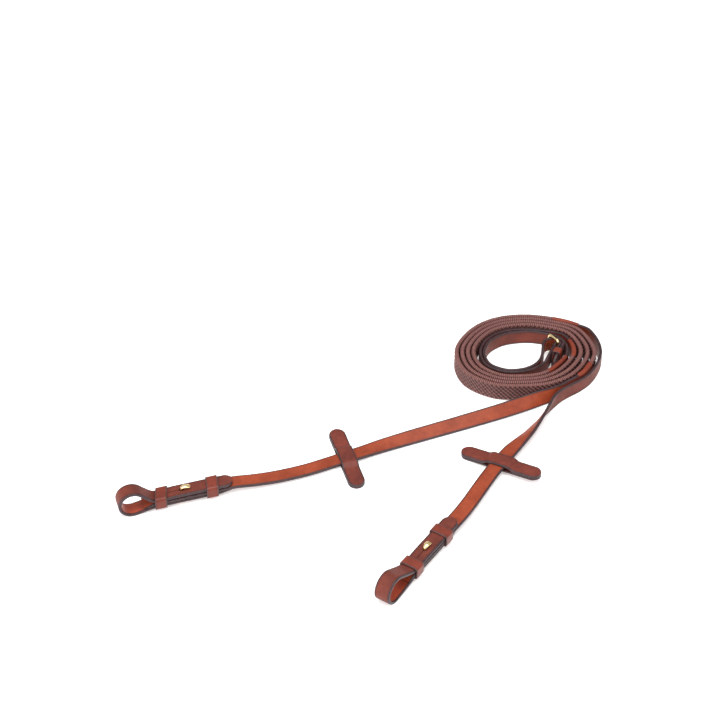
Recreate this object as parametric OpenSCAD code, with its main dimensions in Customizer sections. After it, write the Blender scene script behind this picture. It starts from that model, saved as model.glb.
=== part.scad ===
// Pair of riding reins, coiled up for storage: leather straps with hook stud
// bit ends, sliding rein stops, rubber covered grips and a centre buckle.
// +Z is up, X runs along the longest side of the coiled pair, and the origin
// is under the middle of the pair on the surface that it lies on.

/* [Straps] */
// Width of the leather straps
strap_w = 16; // [15:0.5:16.5]
// Thickness of the leather straps
strap_t = 3; // [2.6:0.1:3]

/* [Rubber grips] */
// Width of the rubber covered grip
grip_w = 20; // [18:0.5:20]
// Thickness of the rubber covered grip
grip_t = 4.7; // [4:0.1:4.7]

/* [Bit ends] */
// Outside radius of the round end of a bit loop
loop_r = 14; // [13:0.5:14]
// Distance from the left front keeper to the middle of its bit loop
left_loop_len = 20.5; // [20:0.5:23]
// Distance from the right front keeper to the middle of its bit loop
right_loop_len = 30.5; // [29:0.5:32]
// Length of one leather keeper along the strap
keeper_len = 11.5; // [9:0.5:12]
// Wall of a leather keeper
keeper_wall = 1.5; // [1:0.1:1.5]
// Radius of the neck of the hook stud
stud_neck_r = 1.6; // [1.2:0.1:1.8]

/* [Rein stops] */
// Length of a rein stop
stop_len = 85; // [80:1:88]
// Width of a rein stop
stop_w = 16.5; // [15:0.5:17]

/* [Centre buckle] */
// Radius of the buckle wire
wire_r = 1.3; // [1.1:0.1:1.3]
// Outside height of the buckle frame
buckle_h = 22; // [21.5:0.1:22]
// Distance between the hinge bar and the far bar
buckle_len = 14.4; // [14:0.1:15]

/* [Hidden] */
$fn = 48;

tan_leather = [0.62, 0.27, 0.15];
dark_leather = [0.50, 0.20, 0.13];
cap_leather = [0.72, 0.33, 0.22];
rubber_red = [0.42, 0.25, 0.23];
brass = [0.85, 0.68, 0.35];
thread = [0.75, 0.62, 0.45];

// middle of the bounding box, measured from the working origin of the routes
org = [9.95, 4.2, 0];

// ---- the two bit ends: where the front keeper begins, and the direction in plan
left_f = [-196.4, -65.7];
left_dir = 18;
right_f = [43.8, -160.2];
right_dir = 56;

// ---- the coil: oval outline every 30 degrees, and how far apart its layers lie there
coil_c = [165, 148];
coil_r = [84.7, 81, 67.2, 61.8, 61.8, 64.2, 70.7, 73.3, 68.5, 63.3, 68.3, 77.5];
coil_step = [7, 6.2, 5.3, 5, 5, 5.2, 5.8, 6.1, 5.5, 5, 5.6, 7];
function coil_pt(k, layer) = let (a = 30 * k, i = k % 12, r = coil_r[i] - coil_step[i] * (a / 180 + layer))
    [coil_c[0] + r * cos(a), coil_c[1] + r * sin(a), 10.1, 90];
function ring_pts(rs, k0, z) = [for (j = [0 : len(rs) - 1])
    [coil_c[0] + rs[j] * cos(30 * (k0 + j)), coil_c[1] + rs[j] * sin(30 * (k0 + j)), j == 0 ? 10.1 : z, 90]];

// ---- route points: x, y, height of the strap's middle, and lean of its width (0 flat, 90 on edge)
right_lead = [[43.8, -160.2, 8.4, 0], [60.6, -135.3, 8.4, 0], [78.5, -108.8, 8.4, 0], [93.2, -87.3, 8.4, 0],
    [103.4, -70.1, 8.1, 1], [112.8, -52.3, 7.7, 2], [122.4, -34, 7.2, 3], [130.2, -20.2, 6.8, 4],
    [137.2, -9.4, 6.6, 4.5], [146.8, 5.4, 6.6, 7], [156.8, 18.8, 6.8, 22], [167.9, 33.4, 7.1, 40],
    [178.9, 50.5, 8, 58], [188.5, 67, 8.4, 76], [196.5, 80.5, 8.1, 90], [205, 90, 8.1, 90], [214.5, 97.5, 8.1, 90],
    [225, 105.5, 8.1, 90], [235.5, 116.5, 8.1, 90], [244, 131, 8.1, 90], [249.5, 148, 8.1, 90], [249.5, 164, 8.2, 90],
    [245, 179, 9, 90], [235, 191, 10.1, 90]];
right_inner = [56.2, 45.2, 40.1, 39.3, 39.7, 40.2, 39.6, 34.4, 30, 28.2, 29.2];
right_end = [[193.5, 139, 10, 90], [197.6, 148, 11, 90]];
left_lead = [[-196.4, -65.7, 8.4, 0], [-168, -56.4, 8.4, 0], [-140, -47.3, 8.4, 0], [-121, -41.2, 8.3, 0],
    [-100, -35.8, 6.4, 0], [-78, -28.6, 4.6, 0], [-52, -19, 4, 0], [-30, -8.7, 3.8, 0], [-13, -0.4, 3.8, 0],
    [4, 7.9, 3.8, 2], [24, 17.5, 3.8, 10], [52, 29.5, 4.2, 18], [92, 46, 4.7, 23], [122.5, 58.5, 5.5, 30],
    [143, 67, 6.2, 37], [163, 76, 6.9, 46], [183, 85.2, 7.9, 62], [194.3, 90, 8.5, 76], [204.5, 95.6, 9.2, 84],
    [213, 101.8, 9.9, 88], [222, 109, 10.1, 90], [232, 120.5, 10.1, 90]];
left_inner = [50, 52, 41.8, 36.3, 35.2, 35.9, 36.4, 35.6, 30.8, 26.2, 23.8, 23.2];
left_end = [[189, 147, 9.5, 90], [190, 155.5, 10.5, 90], [191.5, 163, 11, 90], [195.5, 168, 11, 90],
    [202, 169.5, 11, 90], [208.5, 168.3, 11, 90], [212.1, 162.9, 11, 90], [210.2, 157, 11, 90],
    [205.1, 146.1, 11, 90], [200, 135.2, 11, 90]];

function smooth_pt(a, b, c, d, t) = 0.5 * (2 * b + (c - a) * t + (2 * a - 5 * b + 4 * c - d) * t * t
    + (3 * b - a - 3 * c + d) * t * t * t);
function route(p, n = 3) = let (m = len(p) - 1) [for (i = [0 : m - 1]) for (j = [0 : n - 1])
    smooth_pt(i > 0 ? p[i - 1] : 2 * p[0] - p[1], p[i], p[i + 1], i + 2 <= m ? p[i + 2] : 2 * p[m] - p[m - 1], j / n),
    p[m]];
right_route = route(concat(right_lead, [for (k = [2 : 24]) coil_pt(k, 0)], ring_pts(right_inner, 1, 8.4), right_end), 6);
left_route = route(concat(left_lead, [for (k = [0 : 23]) coil_pt(k, 1)], ring_pts(left_inner, 0, 8.2), left_end));

// ---- sweeping a flat section along a route; side says which long edge rises (1 left edge, -1 right edge)
function xyz(q) = [q[0], q[1], q[2]];
function tangent(r, i) = let (v = xyz(r[min(i + 1, len(r) - 1)]) - xyz(r[max(i - 1, 0)])) v / norm(v);
function width_dir(r, i, side) = let (t = tangent(r, i), h = side * [-t[1], t[0], 0], b = r[i][3])
    cos(b) * h / norm(h) + [0, 0, sin(b)];
function section(r, i, side, hw, ht) = let (w = width_dir(r, i, side), g = side * cross(tangent(r, i), w), p = xyz(r[i]))
    [p + hw * w + ht * g, p + hw * w - ht * g, p - hw * w - ht * g, p - hw * w + ht * g];
function turned(f, side) = side > 0 ? f : [for (q = f) [q[2], q[1], q[0]]];

module strap_sweep(r, i0, i1, side, w, t) {
    m = i1 - i0;
    pts = [for (i = [i0 : i1]) each section(r, i, side, w / 2, t / 2)];
    sides = [for (j = [0 : m - 1]) for (k = [0 : 3]) let (a = 4 * j + k, b = 4 * j + (k + 1) % 4)
        each [[a, b, b + 4], [a, b + 4, a + 4]]];
    caps = [[2, 1, 0], [3, 2, 0], [4 * m, 4 * m + 1, 4 * m + 2], [4 * m, 4 * m + 2, 4 * m + 3]];
    polyhedron(pts, turned(concat(sides, caps), side), convexity = 10);
}

module sleeve_sweep(r, i0, i1, side, w, t, wi, ti) {
    m = i1 - i0;
    pts = [for (i = [i0 : i1]) each concat(section(r, i, side, w / 2, t / 2), section(r, i, side, wi / 2, ti / 2))];
    outer = [for (j = [0 : m - 1]) for (k = [0 : 3]) let (a = 8 * j + k, b = 8 * j + (k + 1) % 4)
        each [[a, b, b + 8], [a, b + 8, a + 8]]];
    inner = [for (j = [0 : m - 1]) for (k = [0 : 3]) let (a = 8 * j + 4 + k, b = 8 * j + 4 + (k + 1) % 4)
        each [[b, a, a + 8], [b, a + 8, b + 8]]];
    e = 8 * m;
    start = [for (k = [0 : 3]) let (b = (k + 1) % 4) each [[b, k, 4 + k], [b, 4 + k, 4 + b]]];
    end = [for (k = [0 : 3]) let (b = (k + 1) % 4) each [[e + k, e + b, e + 4 + b], [e + k, e + 4 + b, e + 4 + k]]];
    polyhedron(pts, turned(concat(outer, inner, start, end), side), convexity = 10);
}

module placed() { translate(-org) children(); }
// local frame of a bit end: +X runs from the loop towards the grips, +Y to the left of that
module at_end(f, a) { placed() translate([f[0], f[1], 0]) rotate([0, 0, a]) children(); }
// extrude a profile drawn in X and Z across a width
module across(w) { translate([0, w / 2, 0]) rotate([90, 0, 0]) linear_extrude(w) children(); }

// ---- heights in the stack of three layers at a bit end
low_z = 4;
low_t = 2.8;
top_z = 10.05;
top_t = 2.85;
stud_x = 28;

function tan_pt(e, c, r, s) = let (d = norm(e - c), a = atan2(e[1] - c[1], e[0] - c[0]) + s * acos(r / d))
    c + r * [cos(a), sin(a)];

module bit_billet(loop_len) {
    loop_c = [-loop_len, loop_r];
    t1 = tan_pt([0, top_z + top_t], loop_c, loop_r, 1);
    t2 = tan_pt([0, low_z], loop_c, loop_r, -1);
    ri = loop_r - strap_t;
    s1 = tan_pt([0, top_z], loop_c, ri, 1);
    s2 = tan_pt([0, low_z + low_t], loop_c, ri, -1);
    across(strap_w) difference() {
        union() {
            translate(loop_c) circle(loop_r, $fn = 96);
            polygon([loop_c, t1, [0, top_z + top_t], [0, low_z], t2]);
            translate([0, low_z]) square([76, low_t]);
        }
        translate(loop_c) circle(ri, $fn = 96);
        polygon([loop_c, s1, [0, top_z], [1, top_z], [1, low_z + low_t], [0, low_z + low_t], s2]);
    }
    translate([0, 0, top_z]) linear_extrude(top_t) difference() {
        union() {
            translate([0, -strap_w / 2]) square([70, strap_w]);
            translate([70, 0]) circle(strap_w / 2);
        }
        translate([stud_x, 0]) circle(2.3);
        translate([14.5, -0.3]) square([stud_x - 14.5, 0.6]);
    }
}

beak_z = 15.9;
// rivet base under the billet, neck through both layers, and a rounded beak pointing away from the loop
module hook_stud() {
    color(brass) {
        translate([stud_x, 0, low_z - 0.9]) cylinder(r = 4, h = 0.85);
        translate([stud_x, 0, low_z - 0.1]) cylinder(r = stud_neck_r, h = 12);
        translate([stud_x, 0, beak_z]) sphere(2);
        translate([stud_x, 0, beak_z]) rotate([0, 90, 0]) cylinder(r = 2, h = 7.5);
        translate([stud_x + 7.5, 0, beak_z]) sphere(2);
    }
}

// leather band whose far side sits skew further along the strap than its near side
module keeper(inner_top, skew = 0) {
    a = strap_w / 2 + 0.2 + keeper_wall;
    color(tan_leather) difference() {
        translate([0, 0, low_z - 0.1 - keeper_wall]) linear_extrude(inner_top - low_z + 0.1 + 2 * keeper_wall)
            polygon([[0, -a], [keeper_len, -a], [keeper_len + skew, a], [skew, a]]);
        translate([-1, -strap_w / 2 - 0.2, low_z - 0.1]) cube([keeper_len + skew + 2, strap_w + 0.4, inner_top - low_z + 0.1]);
    }
}

// two rows of stitches, laid in grooves on the underside of the billet
module billet_stitching() {
    color(thread) for (y = [-5.5, 5.5]) for (i = [0 : 9])
        translate([35.6 + 4 * i, y - 0.3, low_z + 0.06]) cube([2.6, 0.6, 0.34]);
}

// long oval of thick leather split through the middle: a thin layer under the strap and an arched layer over it
module rein_stop() {
    color(dark_leather) difference() {
        intersection() {
            across(stop_w) polygon([[-stop_len / 2, 0], [stop_len / 2, 0], [stop_len / 2, 4.8], [24, 5.2], [14, 6.2],
                [11.5, 7.4], [-11.5, 7.4], [-14, 6.2], [-24, 5.2], [-stop_len / 2, 4.8]]);
            linear_extrude(10) union() {
                square([stop_len - stop_w, stop_w], center = true);
                translate([stop_len / 2 - stop_w / 2, 0]) circle(stop_w / 2);
                translate([-stop_len / 2 + stop_w / 2, 0]) circle(stop_w / 2);
            }
        }
        translate([-10.6, -stop_w, 1.5]) cube([21.2, 2 * stop_w, 4.2]);
    }
}

// wedge where the strap is pared away inside the bit loop
module pared_end() {
    across(strap_w) polygon([[0, 6.93], [0, 9.9], [-10, 6.6], [-10, 6.2]]);
}

// ---- centre buckle: hinge bar at bar_p, strap end doubled round it, running in direction fold_dir towards the bar
bar_p = [206.3, 161.5];
fold_dir = 65;
frame_dir = 126;
tongue_dir = 115.8;
bar_z = 11;
module at_bar(a) { placed() translate([bar_p[0], bar_p[1], 0]) rotate([0, 0, a]) children(); }

// doubled end in plan: main layer on the left, return layer on the right, wrapped round the bar
module fold() {
    at_bar(fold_dir) difference() {
        translate([0, 0, bar_z - strap_w / 2]) linear_extrude(strap_w) union() {
            difference() {
                union() {
                    circle(3.7);
                    polygon([[0, 3.7], [-16, 3.7], [-16, 0.75], [-4, 1.2], [0, 1.4]]);
                    polygon([[0, -3.7], [-8, -3.3], [-23, -3.1], [-23, -0.7], [-4, -1.1], [0, -1.4]]);
                }
                circle(wire_r + 0.06);
                polygon([[0, 0], [-4, 1.05], [-8, 0.75], [-8, -0.7], [-4, -1.05]]);
            }
        }
        translate([-3, -5, bar_z - 1.7]) cube([10, 10, 3.4]);
    }
}

module left_rein_strap() {
    color(tan_leather) {
        placed() difference() {
            strap_sweep(left_route, 0, len(left_route) - 1, 1, strap_w, strap_t);
            translate([left_f[0], left_f[1], 0]) rotate([0, 0, left_dir]) translate([stud_x, 0, 0]) cylinder(r = stud_neck_r + 0.05, h = 20);
            translate([bar_p[0], bar_p[1], bar_z]) rotate([0, 90, tongue_dir]) translate([0, 0, 3]) cylinder(r = 2.4, h = 9.5);
        }
        at_end(left_f, left_dir) pared_end();
    }
}
module right_rein_strap() {
    color(tan_leather) {
        placed() difference() {
            strap_sweep(right_route, 0, len(right_route) - 1, -1, strap_w, strap_t);
            translate([right_f[0], right_f[1], 0]) rotate([0, 0, right_dir]) translate([stud_x, 0, 0]) cylinder(r = stud_neck_r + 0.05, h = 20);
        }
        at_end(right_f, right_dir) pared_end();
        fold();
    }
}
module drilled_billet(loop_len) {
    color(dark_leather) difference() {
        bit_billet(loop_len);
        translate([stud_x, 0, 0]) cylinder(r = stud_neck_r + 0.05, h = 8);
        for (y = [-5.5, 5.5]) translate([35, y - 0.35, low_z - 1]) cube([42, 0.7, 1.4]);
    }
}
module left_bit_billet() { at_end(left_f, left_dir) drilled_billet(left_loop_len); }
module right_bit_billet() { at_end(right_f, right_dir) drilled_billet(right_loop_len); }
module left_hook_stud() { at_end(left_f, left_dir) hook_stud(); }
module right_hook_stud() { at_end(right_f, right_dir) hook_stud(); }
module left_keeper_front() { at_end(left_f, left_dir) keeper(13.95, 5); }
module right_keeper_front() { at_end(right_f, right_dir) keeper(13.95); }
module left_keeper_rear() { at_end(left_f, left_dir) translate([50.5, 0, 0]) keeper(13.95, 3); }
module right_keeper_rear() { at_end(right_f, right_dir) translate([50.5, 0, 0]) keeper(13.95); }
module left_billet_stitching() { at_end(left_f, left_dir) billet_stitching(); }
module right_billet_stitching() { at_end(right_f, right_dir) billet_stitching(); }
module left_rein_stop() { placed() translate([-13, -0.4, 0.2]) rotate([0, 0, 106]) rein_stop(); }
module right_rein_stop() { placed() translate([137.2, -10.9, 3.1]) rotate([0, -4, -30]) rein_stop(); }

module grip(r, i0, i1, side) { color(rubber_red) placed() sleeve_sweep(r, i0, i1, side, grip_w, grip_t, strap_w + 0.2, strap_t + 0.1); }
module grip_cap(r, i0, i1, side) { color(cap_leather) placed() sleeve_sweep(r, i0, i1, side, grip_w, grip_t, strap_w + 0.2, strap_t + 0.1); }
module left_grip_cap_front() { grip_cap(left_route, 60, 64, 1); }
module left_grip() { grip(left_route, 64, 133, 1); }
module left_grip_cap_rear() { grip_cap(left_route, 133, 137, 1); }
module right_grip_cap_front() { grip_cap(right_route, 139, 143, -1); }
module right_grip() { grip(right_route, 143, 274, -1); }
module right_grip_cap_rear() { grip_cap(right_route, 274, 280, -1); }

// wire rectangle standing on its lower rail, with the hinge bar on one side
module centre_buckle_frame() {
    zt = buckle_h - wire_r;
    color(brass) at_bar(frame_dir) {
        translate([0, 0, wire_r]) cylinder(r = wire_r, h = buckle_h - 2 * wire_r);
        translate([buckle_len, 0, wire_r]) cylinder(r = wire_r, h = buckle_h - 2 * wire_r);
        for (z = [wire_r, zt]) {
            translate([0, 0, z]) rotate([0, 90, 0]) cylinder(r = wire_r, h = buckle_len);
            for (x = [0, buckle_len]) translate([x, 0, z]) sphere(wire_r);
        }
    }
}
module centre_buckle_tongue() {
    color(brass) at_bar(tongue_dir) difference() {
        union() {
            translate([0, 0, bar_z - 1.2]) cylinder(r = 2.4, h = 2.4);
            translate([1.5, 0, bar_z]) rotate([0, 90, 0]) cylinder(r = 1, h = buckle_len - 0.8);
            translate([buckle_len + 0.7, 0, bar_z]) sphere(1);
        }
        translate([0, 0, bar_z - 3]) cylinder(r = wire_r + 0.05, h = 6);
    }
}
// fixed leather loop, its inner wall held between the two layers of the doubled end
module buckle_keeper() {
    color(cap_leather) at_bar(fold_dir) translate([-17.5, -8.2, bar_z - 9.6]) difference() {
        cube([8.5, 8.7, 19.2]);
        translate([-1, 1, 1.3]) cube([11, 7.0, 16.6]);
    }
}
module buckle_stitching() {
    color(thread) at_bar(fold_dir) for (z = [bar_z - 5, bar_z + 5]) for (i = [0 : 2])
        translate([-14.7 + 3.4 * i, 3.7, z - 0.25]) cube([2.4, 0.3, 0.5]);
}

left_rein_strap();
left_bit_billet();
left_hook_stud();
left_keeper_front();
left_keeper_rear();
left_billet_stitching();
left_rein_stop();
left_grip();
left_grip_cap_front();
left_grip_cap_rear();
right_rein_strap();
right_bit_billet();
right_hook_stud();
right_keeper_front();
right_keeper_rear();
right_billet_stitching();
right_rein_stop();
right_grip();
right_grip_cap_front();
right_grip_cap_rear();
centre_buckle_frame();
centre_buckle_tongue();
buckle_keeper();
buckle_stitching();
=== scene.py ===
import bpy, bmesh, math
import numpy as np
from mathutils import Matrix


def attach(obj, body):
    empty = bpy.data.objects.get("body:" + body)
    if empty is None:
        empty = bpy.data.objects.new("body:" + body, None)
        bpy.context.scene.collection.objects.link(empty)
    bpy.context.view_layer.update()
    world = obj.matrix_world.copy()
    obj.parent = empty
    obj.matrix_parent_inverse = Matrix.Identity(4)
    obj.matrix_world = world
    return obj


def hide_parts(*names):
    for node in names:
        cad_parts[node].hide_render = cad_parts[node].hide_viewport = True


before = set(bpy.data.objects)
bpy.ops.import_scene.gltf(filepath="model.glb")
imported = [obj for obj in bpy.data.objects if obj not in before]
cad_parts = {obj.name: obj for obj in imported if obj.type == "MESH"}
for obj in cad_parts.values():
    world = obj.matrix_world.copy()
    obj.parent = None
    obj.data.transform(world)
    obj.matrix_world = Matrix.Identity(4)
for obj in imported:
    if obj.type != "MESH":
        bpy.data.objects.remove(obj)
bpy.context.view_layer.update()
MM = 0.001
ORG = np.array([9.95, 4.2, 0.0])
scene = bpy.context.scene


# ------------------------------------------------------------------ camera
def make_camera():
    cam = bpy.data.cameras.new("camera")
    cam.lens = 91.8
    cam.sensor_width = 36.0
    cam.sensor_fit = "HORIZONTAL"
    cam.clip_end = 50
    ob = bpy.data.objects.new("camera", cam)
    off = math.degrees(math.atan(100 / 1836.0))
    el = math.radians(42.0 - off)
    e2 = math.radians(42.0)
    pos = np.array([0.0, -1800 * math.cos(e2), 1800 * math.sin(e2)]) - ORG
    ob.location = tuple(pos * MM)
    ob.rotation_euler = (math.pi / 2 - el, 0, 0)
    scene.collection.objects.link(ob)
    scene.camera = ob
    return ob


make_camera()

# ------------------------------------------------------------------ routes, as in the part
COIL_C = (165, 148)
COIL_R = [84.7, 81, 67.2, 61.8, 61.8, 64.2, 70.7, 73.3, 68.5, 63.3, 68.3, 77.5]
COIL_STEP = [7, 6.2, 5.3, 5, 5, 5.2, 5.8, 6.1, 5.5, 5, 5.6, 7]


def coil_pt(k, layer):
    a = 30 * k
    r = COIL_R[k % 12] - COIL_STEP[k % 12] * (a / 180 + layer)
    return [COIL_C[0] + r * math.cos(math.radians(a)), COIL_C[1] + r * math.sin(math.radians(a)), 10.1, 90]


def ring_pts(rs, k0, z):
    out = []
    for j, r in enumerate(rs):
        a = math.radians(30 * (k0 + j))
        out.append([COIL_C[0] + r * math.cos(a), COIL_C[1] + r * math.sin(a), 10.1 if j == 0 else z, 90])
    return out


RIGHT_LEAD = [
    [43.8, -160.2, 8.4, 0], [60.6, -135.3, 8.4, 0], [78.5, -108.8, 8.4, 0], [93.2, -87.3, 8.4, 0],
    [103.4, -70.1, 8.1, 1], [112.8, -52.3, 7.7, 2], [122.4, -34, 7.2, 3], [130.2, -20.2, 6.8, 4],
    [137.2, -9.4, 6.6, 4.5], [146.8, 5.4, 6.6, 7], [156.8, 18.8, 6.8, 22], [167.9, 33.4, 7.1, 40],
    [178.9, 50.5, 8, 58], [188.5, 67, 8.4, 76], [196.5, 80.5, 8.1, 90], [205, 90, 8.1, 90], [214.5, 97.5, 8.1, 90],
    [225, 105.5, 8.1, 90], [235.5, 116.5, 8.1, 90], [244, 131, 8.1, 90], [249.5, 148, 8.1, 90],
    [249.5, 164, 8.2, 90], [245, 179, 9, 90], [235, 191, 10.1, 90]]
RIGHT_INNER = [56.2, 45.2, 40.1, 39.3, 39.7, 40.2, 39.6, 34.4, 30, 28.2, 29.2]
RIGHT_END = [
    [193.5, 139, 10, 90], [197.6, 148, 11, 90]]
LEFT_LEAD = [
    [-196.4, -65.7, 8.4, 0], [-168, -56.4, 8.4, 0], [-140, -47.3, 8.4, 0], [-121, -41.2, 8.3, 0],
    [-100, -35.8, 6.4, 0], [-78, -28.6, 4.6, 0], [-52, -19, 4, 0], [-30, -8.7, 3.8, 0], [-13, -0.4, 3.8, 0],
    [4, 7.9, 3.8, 2], [24, 17.5, 3.8, 10], [52, 29.5, 4.2, 18], [92, 46, 4.7, 23], [122.5, 58.5, 5.5, 30],
    [143, 67, 6.2, 37], [163, 76, 6.9, 46], [183, 85.2, 7.9, 62], [194.3, 90, 8.5, 76], [204.5, 95.6, 9.2, 84],
    [213, 101.8, 9.9, 88], [222, 109, 10.1, 90], [232, 120.5, 10.1, 90]]
LEFT_INNER = [50, 52, 41.8, 36.3, 35.2, 35.9, 36.4, 35.6, 30.8, 26.2, 23.8, 23.2]
LEFT_END = [
    [189, 147, 9.5, 90], [190, 155.5, 10.5, 90], [191.5, 163, 11, 90], [195.5, 168, 11, 90], [202, 169.5, 11, 90],
    [208.5, 168.3, 11, 90], [212.1, 162.9, 11, 90], [210.2, 157, 11, 90], [205.1, 146.1, 11, 90],
    [200, 135.2, 11, 90]]
BAR = np.array([206.3, 161.5])
FOLD_DIR, FRAME_DIR, TONGUE_DIR = 65.0, 126.0, 115.8


def unit(v):
    return v / np.linalg.norm(v, axis=-1, keepdims=True)


class Route:
    """A smooth curve through points of x, y, z and lean, with the frame of the strap along it."""

    def __init__(self, pts, side, n=40):
        P = np.array(pts, float)
        P[:, :3] -= ORG
        m = len(P) - 1
        rows = []
        for i in range(m):
            a = P[i - 1] if i > 0 else 2 * P[0] - P[1]
            b, c = P[i], P[i + 1]
            d = P[i + 2] if i + 2 <= m else 2 * P[m] - P[m - 1]
            for j in range(n):
                t = j / n
                rows.append(0.5 * (2 * b + (c - a) * t + (2 * a - 5 * b + 4 * c - d) * t * t
                                   + (3 * b - a - 3 * c + d) * t ** 3))
        rows.append(P[m])
        self.q = np.array(rows)
        self.n, self.side = n, side
        self.s = np.concatenate([[0], np.cumsum(np.linalg.norm(np.diff(self.q[:, :3], axis=0), axis=1))])
        self.length = self.s[-1]
        t = np.gradient(self.q[:, :3], axis=0)
        self.t = unit(t)

    def s_of(self, param):
        return float(np.interp(param * self.n, np.arange(len(self.s)), self.s))

    def at(self, s):
        s = np.asarray(s, float)
        p = np.stack([np.interp(s, self.s, self.q[:, k]) for k in range(3)], 1)
        b = np.radians(np.interp(s, self.s, self.q[:, 3]))
        t = unit(np.stack([np.interp(s, self.s, self.t[:, k]) for k in range(3)], 1))
        h = np.stack([-t[:, 1], t[:, 0], 0 * b], 1) * self.side
        h = unit(h)
        w = np.cos(b)[:, None] * h + np.sin(b)[:, None] * np.array([0, 0, 1.0])
        w = unit(w - (w * t).sum(1, keepdims=True) * t)
        g = self.side * np.cross(t, w)
        return p, t, w, g


RIGHT_PTS = RIGHT_LEAD + [coil_pt(k, 0) for k in range(2, 25)] + ring_pts(RIGHT_INNER, 1, 8.4) + RIGHT_END
LEFT_PTS = LEFT_LEAD + [coil_pt(k, 1) for k in range(0, 24)] + ring_pts(LEFT_INNER, 0, 8.2) + LEFT_END
R = Route(RIGHT_PTS, -1)
L = Route(LEFT_PTS, 1)


# ------------------------------------------------------------------ small deterministic noise
def wob(x, seed, scale):
    """smooth value between about -1 and 1, along x in mm"""
    x = np.asarray(x, float) / scale + seed * 17.31
    return (np.sin(x * 2.1 + seed) + 0.6 * np.sin(x * 3.7 + 1.3 * seed + 1) + 0.4 * np.sin(x * 7.9 + 2.1 * seed)) / 2.0


# ------------------------------------------------------------------ materials
def lin(c):
    return tuple((v / 255 / 12.92) if v / 255 <= 0.04045 else ((v / 255 + 0.055) / 1.055) ** 2.4 for v in c)


class Nodes:
    def __init__(self, name):
        self.m = bpy.data.materials.new(name)
        self.m.use_nodes = True
        self.t = self.m.node_tree
        self.t.nodes.clear()
        self.out = self.add("ShaderNodeOutputMaterial")
        self.b = self.add("ShaderNodeBsdfPrincipled")
        self.t.links.new(self.b.outputs[0], self.out.inputs[0])

    def add(self, kind, **kw):
        n = self.t.nodes.new(kind)
        for k, v in kw.items():
            setattr(n, k, v)
        return n

    def link(self, a, b):
        self.t.links.new(a, b)

    def coords(self, scale=(1, 1, 1)):
        if not hasattr(self, "tc"):
            self.tc = self.add("ShaderNodeTexCoord")
        mp = self.add("ShaderNodeMapping")
        mp.inputs["Scale"].default_value = scale
        self.link(self.tc.outputs["Object"], mp.inputs["Vector"])
        return mp.outputs[0]

    def uv(self, scale=(1, 1, 1)):
        if not hasattr(self, "tc"):
            self.tc = self.add("ShaderNodeTexCoord")
        mp = self.add("ShaderNodeMapping")
        mp.inputs["Scale"].default_value = scale
        self.link(self.tc.outputs["UV"], mp.inputs["Vector"])
        return mp.outputs[0]

    def noise(self, vec, scale, detail=4, rough=0.55):
        n = self.add("ShaderNodeTexNoise")
        n.inputs["Scale"].default_value = scale
        n.inputs["Detail"].default_value = detail
        n.inputs["Roughness"].default_value = rough
        self.link(vec, n.inputs["Vector"])
        return n.outputs["Fac"]

    def ramp(self, fac, stops):
        r = self.add("ShaderNodeValToRGB")
        e = r.color_ramp.elements
        while len(e) < len(stops):
            e.new(0.5)
        for el, (p, c) in zip(e, stops):
            el.position = p
            el.color = tuple(c) + (1,) if len(c) == 3 else c
        self.link(fac, r.inputs[0])
        return r.outputs[0]

    def mix(self, a, b, fac, kind="MIX"):
        n = self.add("ShaderNodeMix", data_type="RGBA", blend_type=kind)
        for sock, v in ((6, a), (7, b), (0, fac)):
            if hasattr(v, "links") or hasattr(v, "is_output"):
                self.link(v, n.inputs[sock])
            else:
                n.inputs[sock].default_value = (tuple(v) + (1,)) if isinstance(v, (tuple, list)) else v
        return n.outputs[2]

    def math(self, op, a, b=0.0, clamp=False):
        n = self.add("ShaderNodeMath", operation=op, use_clamp=clamp)
        for i, v in enumerate((a, b)):
            if hasattr(v, "is_output"):
                self.link(v, n.inputs[i])
            else:
                n.inputs[i].default_value = v
        return n.outputs[0]

    def bump(self, height, strength, dist, normal=None):
        n = self.add("ShaderNodeBump")
        n.inputs["Strength"].default_value = strength
        n.inputs["Distance"].default_value = dist
        self.link(height, n.inputs["Height"])
        if normal is not None:
            self.link(normal, n.inputs["Normal"])
        return n.outputs[0]

    def attr(self, name):
        n = self.add("ShaderNodeAttribute", attribute_name=name)
        return n.outputs["Fac"]


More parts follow.
